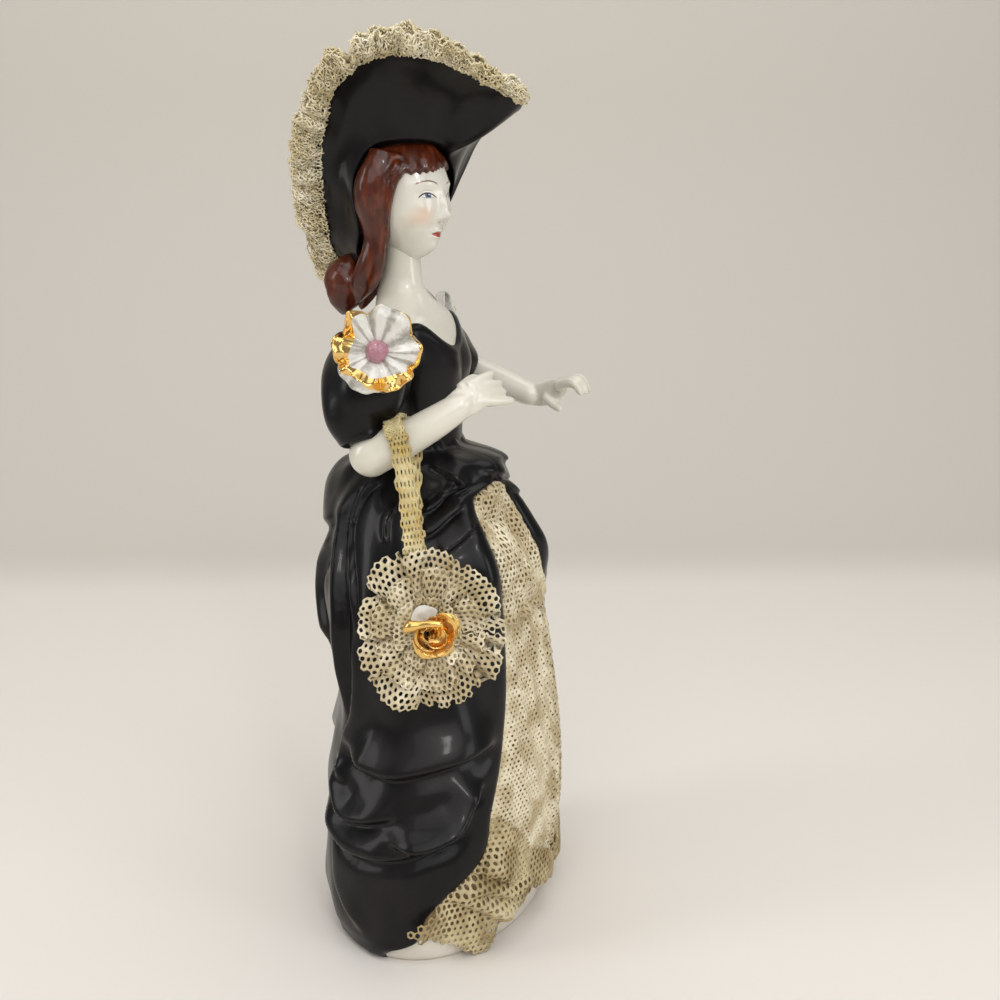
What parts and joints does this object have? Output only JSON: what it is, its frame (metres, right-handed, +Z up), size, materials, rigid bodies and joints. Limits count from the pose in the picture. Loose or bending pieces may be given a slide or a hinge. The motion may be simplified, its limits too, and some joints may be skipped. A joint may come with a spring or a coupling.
{
  "type": "dresden lace figurine",
  "caption": "Standing porcelain lady in a draped evening gown and wide picture hat, trimmed with fired net ruffles and flowers, with a net bag on her arm.",
  "frame": {"origin": "centre of the underside of the skirt", "axes": "+Z up along the figure, the front of the gown towards -Y, the lady's right hand towards -X"},
  "size_m": [0.096, 0.0714, 0.2377],
  "materials": {
    "glazed_black_porcelain": "glazed porcelain, black gown and hat, auburn hair, white face and chest",
    "glazed_white_porcelain": "glazed porcelain, white",
    "fired_net": "net dipped in porcelain slip and fired, cream with a gold lustre",
    "gilt_flowers": "glazed porcelain petals with gilt edges"
  },
  "bodies": {
    "root": {"figure": "glazed_black_porcelain", "right_forearm": "glazed_white_porcelain", "left_forearm": "glazed_white_porcelain", "hat": "glazed_black_porcelain", "hat_net_trim": "fired_net", "front_net_panel": "fired_net", "net_jabot": "fired_net", "hem_net_flounce": "fired_net", "net_bag": "fired_net", "bag_strap": "fired_net", "bag_rose": "gilt_flowers", "right_shoulder_flower": "gilt_flowers", "left_shoulder_flower": "gilt_flowers"}
  },
  "joints": []
}
